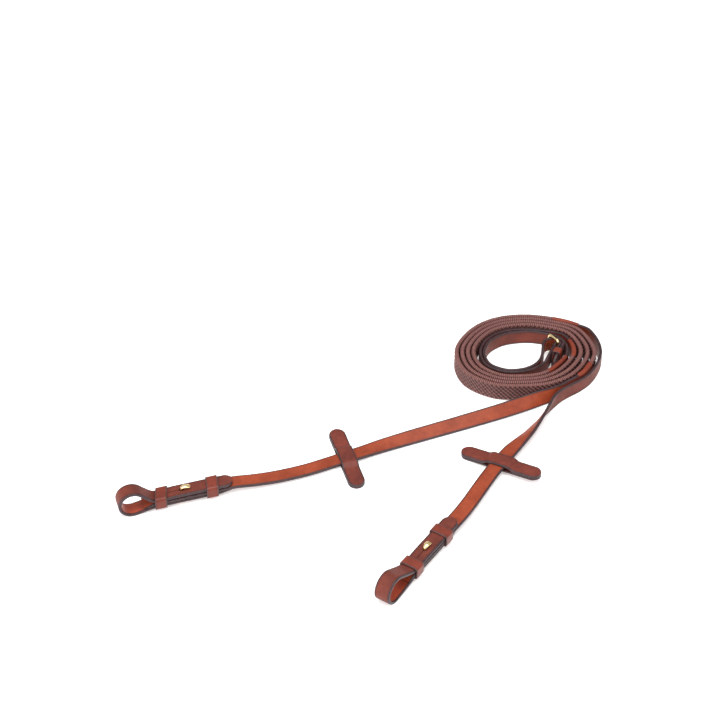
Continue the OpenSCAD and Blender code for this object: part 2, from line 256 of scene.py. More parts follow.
def leather(name, light, dark, rim, rough=0.42, coat=0.12, grain=0.35):
    """Waxed grain leather: mottled dye, pores, faint creases, darker towards its rims, and a painted highlight on the
    bit-end loops.
    """
    N = Nodes(name)
    c = N.coords()
    big = N.noise(c, 34, 3, 0.6)
    mid = N.noise(c, 210, 4, 0.6)
    col = N.ramp(N.math("ADD", N.math("MULTIPLY", big, 0.65), N.math("MULTIPLY", mid, 0.35)),
                 [(0.36, dark), (0.60, light)])
    # painted highlight: round the loops of the bit ends the colour is lifted towards a pale tint, standing in for the
    # light falling on the loop
    col = N.mix(col, tuple(min(1.0, 2.40 * v) for v in light), N.math("MULTIPLY", N.attr("painted_loop_light"), N.math("ADD", 0.6, N.math("MULTIPLY", mid, 0.6)), True))
    vor = N.add("ShaderNodeTexVoronoi", feature="DISTANCE_TO_EDGE")
    vor.inputs["Scale"].default_value = 950
    N.link(c, vor.inputs["Vector"])
    pore = N.ramp(vor.outputs["Distance"], [(0.0, (0, 0, 0)), (0.16, (1, 1, 1))])
    col = N.mix(col, tuple(0.72 * v for v in dark), N.math("MULTIPLY", N.math("SUBTRACT", 1.0, pore), 0.30))
    fleck = N.noise(c, 1500, 2, 0.5)
    col = N.mix(col, tuple(min(1, 1.25 * v) for v in light), N.math("MULTIPLY", N.ramp(fleck, [(0.58, (0, 0, 0)), (0.75, (1, 1, 1))]), 0.18))
    e = N.attr("rim")
    e = N.math("MULTIPLY", N.math("POWER", e, 2.2), N.math("ADD", 0.55, N.math("MULTIPLY", mid, 0.7)), True)
    col = N.mix(col, rim, e)
    N.link(col, N.b.inputs["Base Color"])
    r = N.math("ADD", N.math("MULTIPLY", mid, 0.22), rough - 0.11)
    N.link(r, N.b.inputs["Roughness"])
    crease = N.noise(N.coords((1, 1, 1)), 620, 6, 0.7)
    h = N.math("ADD", N.math("MULTIPLY", pore, 0.6), N.math("MULTIPLY", crease, 0.9))
    nrm = N.bump(h, grain, 0.00012)
    nrm = N.bump(big, 0.25, 0.0012, nrm)
    N.link(nrm, N.b.inputs["Normal"])
    N.b.inputs["Coat Weight"].default_value = coat
    N.b.inputs["Coat Roughness"].default_value = 0.3
    N.b.inputs["Specular IOR Level"].default_value = 0.2
    return N.m


def edge_paint(name, light, dark, rough=0.4):
    """Painted and burnished cut edge, with layers of fibre showing through it."""
    N = Nodes(name)
    c = N.coords()
    fib = N.noise(N.coords((1, 1, 5)), 420, 5, 0.65)
    mid = N.noise(c, 150, 3, 0.6)
    col = N.ramp(N.math("ADD", N.math("MULTIPLY", fib, 0.6), N.math("MULTIPLY", mid, 0.4)), [(0.35, dark), (0.65, light)])
    N.link(col, N.b.inputs["Base Color"])
    N.link(N.math("ADD", N.math("MULTIPLY", mid, 0.25), rough - 0.1), N.b.inputs["Roughness"])
    N.link(N.bump(fib, 0.4, 0.00015), N.b.inputs["Normal"])
    N.b.inputs["Specular IOR Level"].default_value = 0.3
    N.b.inputs["Coat Weight"].default_value = 0.03
    N.b.inputs["Coat Roughness"].default_value = 0.35
    return N.m


def flesh_side(name, light, dark):
    """Underside of the leather: pressed fibres, dull."""
    N = Nodes(name)
    c = N.coords()
    a = N.noise(c, 900, 6, 0.75)
    b = N.noise(c, 60, 3, 0.6)
    col = N.ramp(N.math("ADD", N.math("MULTIPLY", a, 0.5), N.math("MULTIPLY", b, 0.5)), [(0.36, dark), (0.62, light)])
    e = N.attr("rim")
    col = N.mix(col, tuple(0.5 * v for v in dark), N.math("MULTIPLY", e, 0.6, True))
    N.link(col, N.b.inputs["Base Color"])
    N.b.inputs["Roughness"].default_value = 0.62
    N.link(N.bump(a, 0.5, 0.0002), N.b.inputs["Normal"])
    N.b.inputs["Specular IOR Level"].default_value = 0.2
    N.b.inputs["Sheen Weight"].default_value = 0.04
    N.b.inputs["Sheen Roughness"].default_value = 0.5
    return N.m


def rubber(name, light, dark):
    """Matt moulded rubber, painted lighter on its raised parts and darker in the hollows between them (painted
    highlight and painted shade), with random dust patches.
    """
    N = Nodes(name)
    c = N.coords()
    h = N.attr("height")
    dust = N.noise(c, 260, 4, 0.65)
    fine = N.noise(c, 2600, 2, 0.5)
    # painted highlight and painted shade: raised parts are mixed towards the light colour, hollows towards the dark
    # one; the dust noise adds random real patches
    f = N.math("ADD", N.math("MULTIPLY", h, 0.75), N.math("MULTIPLY", N.math("SUBTRACT", dust, 0.5), 0.5), True)
    col = N.mix(dark, light, f)
    N.link(col, N.b.inputs["Base Color"])
    N.link(N.math("ADD", 0.55, N.math("MULTIPLY", dust, 0.25)), N.b.inputs["Roughness"])
    N.link(N.bump(fine, 0.3, 0.00008), N.b.inputs["Normal"])
    N.b.inputs["Specular IOR Level"].default_value = 0.4
    return N.m


def brass(name, col, dark):
    N = Nodes(name)
    c = N.coords()
    n = N.noise(c, 500, 4, 0.6)
    scr = N.noise(N.coords((1, 1, 14)), 900, 3, 0.6)
    N.link(N.mix(dark, col, N.ramp(n, [(0.3, (0, 0, 0)), (0.6, (1, 1, 1))])), N.b.inputs["Base Color"])
    N.b.inputs["Metallic"].default_value = 1.0
    N.link(N.math("ADD", 0.2, N.math("MULTIPLY", scr, 0.16)), N.b.inputs["Roughness"])
    N.link(N.bump(scr, 0.12, 0.00005), N.b.inputs["Normal"])
    return N.m


def cotton(name, light, dark):
    N = Nodes(name)
    w = N.add("ShaderNodeTexWave", wave_type="BANDS", bands_direction="DIAGONAL")
    w.inputs["Scale"].default_value = 900
    w.inputs["Distortion"].default_value = 1.0
    N.link(N.coords(), w.inputs["Vector"])
    N.link(N.mix(dark, light, w.outputs["Fac"]), N.b.inputs["Base Color"])
    N.b.inputs["Roughness"].default_value = 0.7
    N.link(N.bump(w.outputs["Fac"], 0.5, 0.0001), N.b.inputs["Normal"])
    return N.m


M_STRAP = leather("strap_leather_grain", lin((150, 67, 41)), lin((122, 50, 29)), lin((78, 36, 28)), 0.44, 0.05)
M_BILLET = leather("billet_leather_grain", lin((120, 53, 36)), lin((92, 38, 27)), lin((62, 32, 29)), 0.34, 0.22)
M_KEEPER = leather("keeper_leather_grain", lin((121, 53, 39)), lin((96, 40, 30)), lin((70, 37, 34)), 0.36, 0.10)
M_STOP = leather("stop_leather_grain", lin((118, 54, 42)), lin((88, 39, 32)), lin((60, 31, 28)), 0.44, 0.04, 0.7)
M_CAP = leather("cap_leather_grain", lin((132, 57, 38)), lin((108, 44, 29)), lin((82, 40, 32)), 0.40, 0.06)
M_EDGE = edge_paint("edge_paint", lin((70, 47, 50)), lin((34, 22, 24)))
M_EDGE_THIN = edge_paint("edge_paint_thin", lin((100, 64, 62)), lin((54, 33, 32)))
M_FLESH = flesh_side("flesh_side", lin((112, 51, 39)), lin((82, 35, 26)))
# rubber: the light colour is the painted highlight on the raised parts, the dark one the painted shade in the hollows
M_RUBBER = rubber("pimple_rubber", lin((152, 100, 93)), lin((52, 25, 25)))
M_BRASS = brass("polished_brass", lin((255, 234, 180)), lin((240, 206, 136)))
M_THREAD = cotton("waxed_thread", lin((180, 150, 112)), lin((136, 104, 72)))


# ------------------------------------------------------------------ mesh helpers
def mesh_piece(name, verts, faces, mats, idx=None, attrs=None, uvs=None, smooth=True):
    me = bpy.data.meshes.new(name)
    me.from_pydata((np.asarray(verts) * MM).tolist(), [], faces)
    for m in mats:
        me.materials.append(m)
    if idx is not None:
        me.polygons.foreach_set("material_index", np.asarray(idx, np.int32))
    if smooth:
        me.polygons.foreach_set("use_smooth", np.ones(len(me.polygons), bool))
    for k, v in (attrs or {}).items():
        at = me.attributes.new(k, "FLOAT", "POINT")
        at.data.foreach_set("value", np.asarray(v, np.float32))
    me.update()
    me.validate()
    ob = bpy.data.objects.new(name, me)
    scene.collection.objects.link(ob)
    return ob


def band_profile(w, t, r, nw=8, nc=3, crown=0.0, paint=0.4):
    """Cross-section of a leather band, w wide and t thick with rounded edges. Gives points, rim values and the
    zone of each segment: 0 grain face, 1 edge, 2 flesh face."""
    hw, ht = w / 2, t / 2
    r = min(r, ht * 0.98)
    pts, rim = [], []

    def face(sign):
        fl = hw - r
        for x in [-fl] + [(-1 + 2 * i / nw) * (fl - paint) for i in range(nw + 1)] + [fl]:
            x = x * sign * -1
            d = hw - abs(x)
            pts.append((x, sign * (ht + crown * (1 - (x / hw) ** 2))))
            rim.append(max(0.0, 1 - (d - r) / 1.6))

    def corner(cx, cy, a0, a1):
        for i in range(1, nc):
            a = math.radians(a0 + (a1 - a0) * i / nc)
            pts.append((cx + r * math.cos(a), cy + r * math.sin(a)))
            rim.append(1.0)

    # grain face from +w to -w, edge at -w, flesh from -w to +w, edge at +w
    face(1)
    n0 = len(pts) - 1
    corner(-(hw - r), ht - r, 90, 180)
    pts.append((-hw, ht - r)); rim.append(1.0)
    if ht - r > 0.15:
        pts.append((-hw, 0)); rim.append(1.0)
    pts.append((-hw, -(ht - r))); rim.append(1.0)
    corner(-(hw - r), -(ht - r), 180, 270)
    n1 = len(pts)
    face(-1)
    n2 = len(pts) - 1
    corner(hw - r, -(ht - r), 270, 360)
    pts.append((hw, -(ht - r))); rim.append(1.0)
    if ht - r > 0.15:
        pts.append((hw, 0)); rim.append(1.0)
    pts.append((hw, ht - r)); rim.append(1.0)
    corner(hw - r, ht - r, 0, 90)
    zone = []
    for i in range(len(pts)):
        zone.append(0 if 0 < i < n0 - 1 else (2 if n1 < i < n2 - 1 else 1))
    return np.array(pts), np.array(rim), zone


def sweep(name, p, w, g, prof, zone, mats, rim=None, closed=False, caps=True, cap_mat=1, extra=None):
    """prof is (k, 2), or (n, k, 2) where the section changes along the way."""
    n = len(p)
    prof = np.asarray(prof, float)
    if prof.ndim == 2:
        prof = np.broadcast_to(prof, (n,) + prof.shape)
    k = prof.shape[1]
    v = p[:, None, :] + prof[:, :, :1] * w[:, None, :] + prof[:, :, 1:2] * g[:, None, :]
    v = v.reshape(-1, 3)
    # winding: make the faces point outward
    t = p[1] - p[0]
    flip = np.dot(np.cross(w[0], g[0]), t) < 0
    area = 0.5 * np.sum(prof[0][:, 0] * np.roll(prof[0][:, 1], -1) - np.roll(prof[0][:, 0], -1) * prof[0][:, 1])
    if area < 0:
        flip = not flip
    faces, idx = [], []
    rows = n if closed else n - 1
    for i in range(rows):
        a0, b0 = i * k, ((i + 1) % n) * k
        for j in range(k):
            j2 = (j + 1) % k
            f = (a0 + j, a0 + j2, b0 + j2, b0 + j)
            faces.append(f[::-1] if flip else f)
            idx.append(zone[j])
    if caps and not closed:
        f = tuple(range(k))
        faces.append(f if flip else f[::-1])
        f = tuple(range((n - 1) * k, n * k))
        faces.append(f[::-1] if flip else f)
        idx += [cap_mat, cap_mat]
    attrs = {}
    if rim is not None:
        rim = np.asarray(rim)
        attrs["rim"] = np.broadcast_to(rim, (n, k)).reshape(-1) if rim.ndim == 1 else rim.reshape(-1)
    for kk, vv in (extra or {}).items():
        attrs[kk] = np.asarray(vv).reshape(-1)
    return mesh_piece(name, v, faces, mats, idx, attrs)


def local(f, ang):
    """frame of a bit end or of the bar: gives a function from local (x, y, z) in mm to the row frame"""
    a = math.radians(ang)
    e1 = np.array([math.cos(a), math.sin(a), 0])
    e2 = np.array([-math.sin(a), math.cos(a), 0])
    e3 = np.array([0, 0, 1.0])
    o = np.array([f[0], f[1], 0]) - ORG
    return o, e1, e2, e3


def to_row(fr, q):
    o, e1, e2, e3 = fr
    q = np.asarray(q, float)
    return o + q[..., :1] * e1 + q[..., 1:2] * e2 + q[..., 2:3] * e3


def box_cutter(fr, lo, hi, name="cutter"):
    c = [(x, y, z) for x in (lo[0], hi[0]) for y in (lo[1], hi[1]) for z in (lo[2], hi[2])]
    v = to_row(fr, np.array(c, float))
    f = [(0, 1, 3, 2), (4, 6, 7, 5), (0, 4, 5, 1), (2, 3, 7, 6), (0, 2, 6, 4), (1, 5, 7, 3)]
    ob = mesh_piece(name, v, f, [M_EDGE], smooth=False)
    return ob


def rod_cutter(p0, p1, r, name="cutter", n=20):
    p0, p1 = np.asarray(p0, float), np.asarray(p1, float)
    t = unit(p1 - p0)
    a = unit(np.cross(t, [0.3, 0.2, 1.0]))
    b = np.cross(t, a)
    ang = np.linspace(0, 2 * math.pi, n, endpoint=False)
    prof = np.stack([r * np.cos(ang), r * np.sin(ang)], 1)
    return sweep(name, np.array([p0, p1]), np.array([a, a]), np.array([b, b]), prof, [0] * n, [M_EDGE], cap_mat=0)


def cut(ob, cutters):
    for c in cutters:
        bm = bmesh.new(); bm.from_mesh(c.data); bmesh.ops.recalc_face_normals(bm, faces=bm.faces); bm.to_mesh(c.data); bm.free()
        md = ob.modifiers.new("cut", "BOOLEAN")
        md.operation = "DIFFERENCE"
        md.solver = "EXACT"
        md.object = c
    dg = bpy.context.evaluated_depsgraph_get()
    me = bpy.data.meshes.new_from_object(ob.evaluated_get(dg), depsgraph=dg)
    ob.modifiers.clear()
    old = ob.data
    ob.data = me
    me.name = ob.name
    bpy.data.meshes.remove(old)
    for c in cutters:
        d = c.data
        bpy.data.objects.remove(c)
        bpy.data.meshes.remove(d)
    me.polygons.foreach_set("use_smooth", np.ones(len(me.polygons), bool))
    try:
        me.set_sharp_from_angle(angle=math.radians(40))
    except Exception:
        pass


def rounded_path(c, half_a, half_b, r, n=6):
    """closed rounded rectangle in two coordinates, with its outward normals"""
    pts, nor = [], []
    for cx, cy, a0 in ((half_a - r, half_b - r, 0), (-(half_a - r), half_b - r, 90), (-(half_a - r), -(half_b - r), 180), (half_a - r, -(half_b - r), 270)):
        for i in range(n + 1):
            a = math.radians(a0 + 90 * i / n)
            pts.append((c[0] + cx + r * math.cos(a), c[1] + cy + r * math.sin(a)))
            nor.append((math.cos(a), math.sin(a)))
    return np.array(pts), np.array(nor)


# ------------------------------------------------------------------ the reins
LEFT_F, LEFT_DIR = (-196.4, -65.7), 18.0
RIGHT_F, RIGHT_DIR = (43.8, -160.2), 56.0
FL, FR = local(LEFT_F, LEFT_DIR), local(RIGHT_F, RIGHT_DIR)
FB = local(BAR, FOLD_DIR)


def strap_piece(name, route, seed, tail=None):
    """The whole leather strap. tail, a list of further centre points and width scale past the route's end, is not used.
    """
    n = int(route.length / 2.2)
    s = np.linspace(0, route.length, n)
    p, t, w, g = route.at(s)
    prof, rim, zone = band_profile(16, 3, 0.9)
    k = len(prof)
    P = np.repeat(prof[None], n, 0)
    # slightly uneven width and surface, as cut leather has
    P[:, :, 0] *= (1 + 0.006 * wob(s, seed, 31))[:, None]
    P[:, :, 1] *= (1 + 0.02 * wob(s, seed + 3, 23))[:, None]
    return s, p, t, w, g, P, rim, zone


def pared(s, P, p, g, length=15.0, left=0.4):
    """returns P unchanged: the strap is not thinned here"""
    return P


def make_strap(name, route, seed, node, head_frame):
    s, p, t, w, g, P, rim, zone = strap_piece(name, route, seed)
    # pared end inside the bit loop, ahead of the route's first point
    o, e1, e2, e3 = head_frame
    m = 8
    xs = np.linspace(-10, 0, m, endpoint=False)
    zc = np.interp(xs, [-10, 0], [6.4, 8.4])
    th = np.interp(xs, [-10, 0], [0.4, 3.0])
    hp = to_row(head_frame, np.stack([xs, 0 * xs, zc], 1))
    prof, _, _ = band_profile(16, 3, 0.9)
    HP = np.repeat(prof[None], m, 0)
    HP[:, :, 1] *= (th / 3.0)[:, None]
    p = np.concatenate([hp, p]); w = np.concatenate([np.repeat(w[:1], m, 0), w]); g = np.concatenate([np.repeat(g[:1], m, 0), g])
    P = np.concatenate([HP, P])
    return p, w, g, P, rim, zone


# right strap: runs on round the hinge bar and back, sewn to itself
p, w, g, P, rim, zone = make_strap("right_rein_strap", R, 1.0, "right_rein_strap", FR)
end = p[-1]
o, e1, e2, e3 = FB
loc_end = np.array([np.dot(end - o, e1), np.dot(end - o, e2), 11.0])
tp, tt = [], []
for x in np.linspace(loc_end[0] + 2.5, -4.5, 6):
    tp.append((x, np.interp(x, [loc_end[0], -9, -3], [loc_end[1], 2.15, 2.35]))); tt.append(np.interp(x, [loc_end[0], -3], [3.0, 2.3]))
for a in np.linspace(100, -100, 19):
    tp.append((2.55 * math.cos(math.radians(a)), 2.55 * math.sin(math.radians(a)))); tt.append(2.2)
for x, y in ((-3.5, -2.3), (-6, -2.05), (-10, -1.95), (-14, -1.95), (-18, -1.95), (-21, -1.95), (-23, -1.95)):
    tp.append((x, y)); tt.append(np.interp(x, [-23, -18, -3], [0.6, 2.2, 2.3]))
tp = np.array(tp)
tz = np.full(len(tp), 11.0)
tail = to_row(FB, np.concatenate([tp, tz[:, None]], 1))
prof0, _, _ = band_profile(16, 3, 0.9)
TP = np.repeat(prof0[None], len(tp), 0)
TP[:, :, 1] *= (np.array(tt) / 3.0)[:, None]
ap = np.concatenate([p, tail])
tan = unit(np.gradient(ap, axis=0))
nt = len(tail)
tw = np.repeat(np.array([[0, 0, 1.0]]), nt, 0)
tg = -np.cross(tan[-nt:], tw)
right_path = ap.copy()
right_strap = sweep("right_rein_strap_leather", ap, np.concatenate([w, tw]), np.concatenate([g, tg]), np.concatenate([P, TP]), zone, [M_STRAP, M_EDGE, M_FLESH], rim)
slot_c = box_cutter(FB, (-3.2, -5, 11 - 1.7), (6, 5, 11 + 1.7))
post = to_row(FR, np.array([[28.0, 0, 5.5], [28.0, 0, 11.5]]))
cut(right_strap, [slot_c, rod_cutter(post[0], post[1], 1.65)])
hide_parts("right_rein_strap")

# left strap: pointed end with punched holes, through the buckle and the keeper
p, w, g, P, rim, zone = make_strap("left_rein_strap", L, 2.0, "left_rein_strap", FL)
cum = np.concatenate([[0], np.cumsum(np.linalg.norm(np.diff(p, axis=0), axis=1))])
rest = cum[-1] - cum
P = P.copy()
tip = np.sqrt(np.clip(1 - (1 - np.clip(rest / 9.0, 0, 1)) ** 2, 0, 1)) * 0.93 + 0.07
P[:, :, 0] *= tip[:, None]
left_path = p.copy()
left_strap = sweep("left_rein_strap_leather", p, w, g, P, zone, [M_STRAP, M_EDGE, M_FLESH], rim)
post = to_row(FL, np.array([[28.0, 0, 5.5], [28.0, 0, 11.5]]))
cutters = [rod_cutter(post[0], post[1], 1.65)]
tdir = np.array([math.cos(math.radians(TONGUE_DIR)), math.sin(math.radians(TONGUE_DIR)), 0])
barp = np.array([BAR[0], BAR[1], 11.0]) - ORG
cutters.append(rod_cutter(barp + tdir * 3.0, barp + tdir * 12.5, 2.4))
for back in (24, 70, 86):
    i = int(np.argmin(np.abs(rest - back)))
    c = p[i]
    cutters.append(rod_cutter(c - g[i] * 4, c + g[i] * 4, 1.7))
cut(left_strap, cutters)
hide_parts("left_rein_strap")


# ---- rubber grips
def make_grip(name, route, a, b, seed, node):
    s0, s1 = route.s_of(a / 3.0), route.s_of(b / 3.0)
    step = 0.5
    n = int((s1 - s0) / step)
    s = np.linspace(s0, s1, n)
    p, t, w, g = route.at(s)
    # profile: flat faces with pimples, round ribbed rims
    nf, ne = 30, 7
    hw, r = 10.0, 2.0
    xs = np.linspace(hw - 2.3, -(hw - 2.3), nf)
    pts, nor, kind = [], [], []
    for x in xs:
        pts.append((x, 1.6)); nor.append((0, 1)); kind.append(0)
    for i in range(1, ne + 1):
        an = math.radians(90 + 180 * i / (ne + 1))
        pts.append((-(hw - 2.3) + 2.05 * math.cos(an), 2.02 * math.sin(an))); nor.append((math.cos(an), math.sin(an))); kind.append(1)
    for x in -xs:
        pts.append((x, -1.6)); nor.append((0, -1)); kind.append(2)
    for i in range(1, ne + 1):
        an = math.radians(270 + 180 * i / (ne + 1))
        pts.append(((hw - 2.3) + 2.05 * math.cos(an), 2.02 * math.sin(an))); nor.append((math.cos(an), math.sin(an))); kind.append(1)
    pts, nor, kind = np.array(pts), np.array(nor), np.array(kind)
    k = len(pts)
    S, X = np.meshgrid(s - s0, pts[:, 0], indexing="ij")
    # pimples lie in slanting rows
    pa, pb = 4.6, 2.4
    row = np.round(X / pb)
    dx = X - row * pb
    sh = S + row * 2.4
    ds = sh - np.round(sh / pa) * pa
    u = (ds * 0.9 - dx * 0.44) / 1.95
    v = (ds * 0.44 + dx * 0.9) / 1.1
    rr = np.sqrt(u * u + v * v)
    pim = np.clip(1 - rr, 0, 1) ** 0.55
    rib = np.clip(0.48 + 0.85 * np.cos(2 * math.pi * S / 2.0), 0, 1)
    h = np.where(kind[None, :] == 1, rib, pim)
    amp = np.where(kind == 1, 0.40, 0.72)
    ends = np.clip(np.minimum(S, (s1 - s0) - S) / 1.0, 0.0, 1.0)
    disp = h * amp[None, :] * ends
    prof = pts[None] + nor[None] * disp[:, :, None]
    prof = prof * (1 + 0.006 * wob(s, seed, 19))[:, None, None]
    ob = sweep(name, p, w, g, prof, [0] * k, [M_RUBBER], None, cap_mat=0, extra={"height": h})
    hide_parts(node)
    return ob


grips = [make_grip("left_grip_rubber", L, 64, 133, 5.0, "left_grip"), make_grip("right_grip_rubber", R, 71.5, 137, 6.0, "right_grip")]


# ---- leather caps at the ends of the rubber
def make_cap(name, route, a, b, to_rubber_at_end, node):
    s0, s1 = route.s_of(a / 3.0), route.s_of(b / 3.0)
    n = 40
    s = np.linspace(s0, s1, n)
    p, t, w, g = route.at(s)
    f = (s - s0) / (s1 - s0)
    if not to_rubber_at_end:
        f = 1 - f
    wide = np.interp(f, [0, 0.06, 0.45, 1], [17.4, 17.8, 19.4, 19.7])
    thick = np.interp(f, [0, 0.06, 0.45, 1], [3.9, 4.1, 4.6, 4.7])
    out = []
    for wi, th in zip(wide, thick):
        q, rim, zone = band_profile(wi, th, 1.55, nw=8, nc=4, crown=0.0)
        out.append(q)
    P = np.array(out)
    # thin wrap: rims rounded
    ob = sweep(name, p, w, g, P, [0] * len(zone), [M_CAP, M_EDGE_THIN], np.array(rim) * 0.25, cap_mat=1)
    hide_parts(node)
    return ob


caps = [make_cap("left_grip_cap_front_leather", L, 60, 64, True, "left_grip_cap_front"),
        make_cap("left_grip_cap_rear_leather", L, 133, 137, False, "left_grip_cap_rear"),
        make_cap("right_grip_cap_front_leather", R, 69.5, 71.5, True, "right_grip_cap_front"),
        make_cap("right_grip_cap_rear_leather", R, 137, 140, False, "right_grip_cap_rear")]


# ---- bit ends
LOW_Z, LOW_T, TOP_Z, TOP_T = 4.0, 2.8, 10.05, 2.85
FLAP_RISE = 0.9


def flap_z(x):
    return TOP_Z + FLAP_RISE * min(max((x - 8) / 14.0, 0.0), 1.0)


def tan_pt(e, c, r, s):
    d = np.linalg.norm(e - c)
    a = math.atan2(e[1] - c[1], e[0] - c[0]) + s * math.acos(r / d)
    return c + r * np.array([math.cos(a), math.sin(a)]), a


def make_billet(name, fr, node, seed, loop_len):
    LOOP_C = np.array([-loop_len, 14.0])
    rc = 12.5
    top_in = np.array([0.0, TOP_Z + TOP_T / 2])
    low_in = np.array([0.0, LOW_Z + LOW_T / 2])
    t1, a1 = tan_pt(top_in, LOOP_C, rc, 1)
    t2, a2 = tan_pt(low_in, LOOP_C, rc, -1)
    if a2 < a1:
        a2 += 2 * math.pi
    path, th = [], []
    for x in np.linspace(76, 1.5, 34):
        path.append((x, low_in[1])); th.append(LOW_T)
    leg = np.linspace(0.08, 0.95, 6)
    for f in leg:
        path.append(tuple(low_in + (t2 - low_in) * f)); th.append(2.95)
    for a in np.linspace(a2, a1, 44):
        path.append((LOOP_C[0] + rc * math.cos(a), LOOP_C[1] + rc * math.sin(a))); th.append(3.0)
    for f in leg[::-1]:
        path.append(tuple(top_in + (t1 - top_in) * f)); th.append(2.95)
    xs = list(np.linspace(1.5, 66, 40)) + list(70 + 8 * np.sin(np.radians(np.linspace(-20, 89.0, 26))))
    for x in xs:
        # the flap lifts a little off the strap between the keepers and stays lifted to its tip
        z = flap_z(x) + TOP_T / 2
        path.append((x, z)); th.append(TOP_T)
    path = np.array(path)
    # the sewn layer is pared thin at its end
    th = np.array(th)
    low = np.arange(len(path)) < 8
    th[low] = np.interp(path[low, 0], [64, 76], [LOW_T, 1.3])
    path[low, 1] += (LOW_T - th[low]) / 2
    # smooth the corners where the legs join
    for _ in range(3):
        q = path.copy()
        q[1:-1] = 0.25 * path[:-2] + 0.5 * path[1:-1] + 0.25 * path[2:]
        keep = (np.arange(len(path)) > 100)
        q[keep] = path[keep]
        path = q
    n = len(path)
    tan = unit(np.gradient(path, axis=0))
    nor = np.stack([-tan[:, 1], tan[:, 0]], 1)
    p = to_row(fr, np.stack([path[:, 0], 0 * path[:, 0], path[:, 1]], 1))
    o, e1, e2, e3 = fr
    w = np.repeat(e2[None], n, 0)
    g = -(nor[:, :1] * e1 + nor[:, 1:2] * e3)
    # the grain faces outward round the loop: left of travel is inside, so g is the outside
    prof, rim, zone = band_profile(16, 3, 1.0)
    P = np.repeat(prof[None], n, 0)
    P[:, :, 1] *= (np.array(th) / 3.0)[:, None]
    width = np.ones(n)
    for i in range(n):
        if i < 8:
            width[i] = float(np.interp(path[i, 0], [64, 76], [1.0, 0.8]))
        if i > 84 and path[i, 0] > 70:
            width[i] = math.sqrt(max(0.0, 1 - ((path[i, 0] - 70) / 8.05) ** 2))
    P[:, :, 0] *= np.maximum(width, 0.05)[:, None]
    # painted highlight: 0 along the straight, rising round the loop, where the leather is painted paler as if lit
    painted_loop_light = np.clip((-3 - path[:, 0]) / (loop_len * 0.75), 0, 1)
    painted_loop_light = painted_loop_light * painted_loop_light * (3 - 2 * painted_loop_light)
    ob = sweep(name, p, w, g, P, zone, [M_BILLET, M_EDGE, M_FLESH], rim, extra={"painted_loop_light": np.repeat(painted_loop_light[:, None], P.shape[1], 1)})
    slit = box_cutter(fr, (14.5, -0.28, 9), (28, 0.28, 15.5))
    hole = to_row(fr, np.array([[28.0, 0, 9.0], [28.0, 0, 15.0]]))
    hole2 = to_row(fr, np.array([[28.0, 0, 3.0], [28.0, 0, 8.0]]))
    cut(ob, [slit, rod_cutter(hole[0], hole[1], 2.3), rod_cutter(hole2[0], hole2[1], 1.65)])
    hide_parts(node)
    return ob


def make_keeper(name, fr, x0, node, seed, top, skew):
    """A leather loop round the stack: a thin band bent round, with soft corners and painted rims."""
    wall = 1.5
    cz = (LOW_Z - 0.1 + top) / 2
    hz = (top - (LOW_Z - 0.1)) / 2
    hy = 8.2
    path, nor = rounded_path((0.0, cz), hy + wall / 2, hz + wall / 2, 2.0, 7)
    # close-set samples along the straights
    pp, nn = [], []
    m = len(path)
    for i in range(m):
        a, b = path[i], path[(i + 1) % m]
        k = max(1, int(np.linalg.norm(b - a) / 2.0))
        for j in range(k):
            f = j / k
            pp.append(a + (b - a) * f); nn.append(unit(nor[i] * (1 - f) + nor[(i + 1) % m] * f))
    pp, nn = np.array(pp), np.array(nn)
    bulge = 0.22 * np.clip(1 - (pp[:, 0] / 8.0) ** 2, 0, 1) * (np.abs(nn[:, 1]) > 0.9)
    pp = pp + nn * bulge[:, None]
    n = len(pp)
    o, e1, e2, e3 = fr
    p = to_row(fr, np.stack([x0 + 11.5 / 2 + skew * (pp[:, 0] + hy + wall) / (2 * (hy + wall)), pp[:, 0], pp[:, 1]], 1))
    w = np.repeat(e1[None], n, 0)
    g = nn[:, :1] * e2 + nn[:, 1:2] * e3
    prof, rim, zone = band_profile(11.5, wall, 0.6, nw=6, nc=3, crown=0.0)
    ob = sweep(name, p, w, g, prof, zone, [M_KEEPER, M_EDGE_THIN, M_FLESH], rim, closed=True)
    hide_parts(node)
    return ob


def make_stud(name, fr, node):
    """Brass hook stud: riveted foot, round neck and a flattened beak bent over along the strap."""
    path = [(28, 3.2), (28, 5), (28, 8), (28, 11), (28.0, 13.9), (28.3, 15.3), (29.2, 16.4), (30.6, 16.95), (32.4, 16.9), (34.2, 16.4), (35.8, 15.6), (36.6, 15.0)]
    P = np.array(path)
    m = 60
    tt = np.linspace(0, len(P) - 1, m)
    ii = np.clip(tt.astype(int), 0, len(P) - 2)
    P2 = P[ii] + (P[ii + 1] - P[ii]) * (tt - ii)[:, None]
    for _ in range(6):
        P2[1:-1] = 0.25 * P2[:-2] + 0.5 * P2[1:-1] + 0.25 * P2[2:]
    tan = unit(np.gradient(P2, axis=0))
    nor = np.stack([-tan[:, 1], tan[:, 0]], 1)
    o, e1, e2, e3 = fr
    p = to_row(fr, np.stack([P2[:, 0], 0 * P2[:, 0], P2[:, 1]], 1))
    w = np.repeat(e2[None], m, 0)
    g = nor[:, :1] * e1 + nor[:, 1:2] * e3
    f = np.linspace(0, 1, m)
    wide = np.interp(f, [0, 0.02, 0.06, 0.1, 0.45, 0.55, 0.7, 0.9, 0.97, 1.0], [3.2, 3.9, 3.9, 1.6, 1.6, 2.1, 2.7, 2.5, 1.7, 0.5])
    thick = np.interp(f, [0, 0.02, 0.06, 0.1, 0.45, 0.55, 0.7, 0.9, 0.97, 1.0], [3.2, 3.9, 3.9, 1.6, 1.6, 1.4, 1.15, 1.1, 0.8, 0.3])
    a = np.linspace(0, 2 * math.pi, 20, endpoint=False)
    prof = np.stack([wide[:, None] * np.cos(a), thick[:, None] * np.sin(a)], 2)
    ob = sweep(name, p, w, g, prof, [0] * 20, [M_BRASS], None, cap_mat=0)
    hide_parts(node)
    return ob


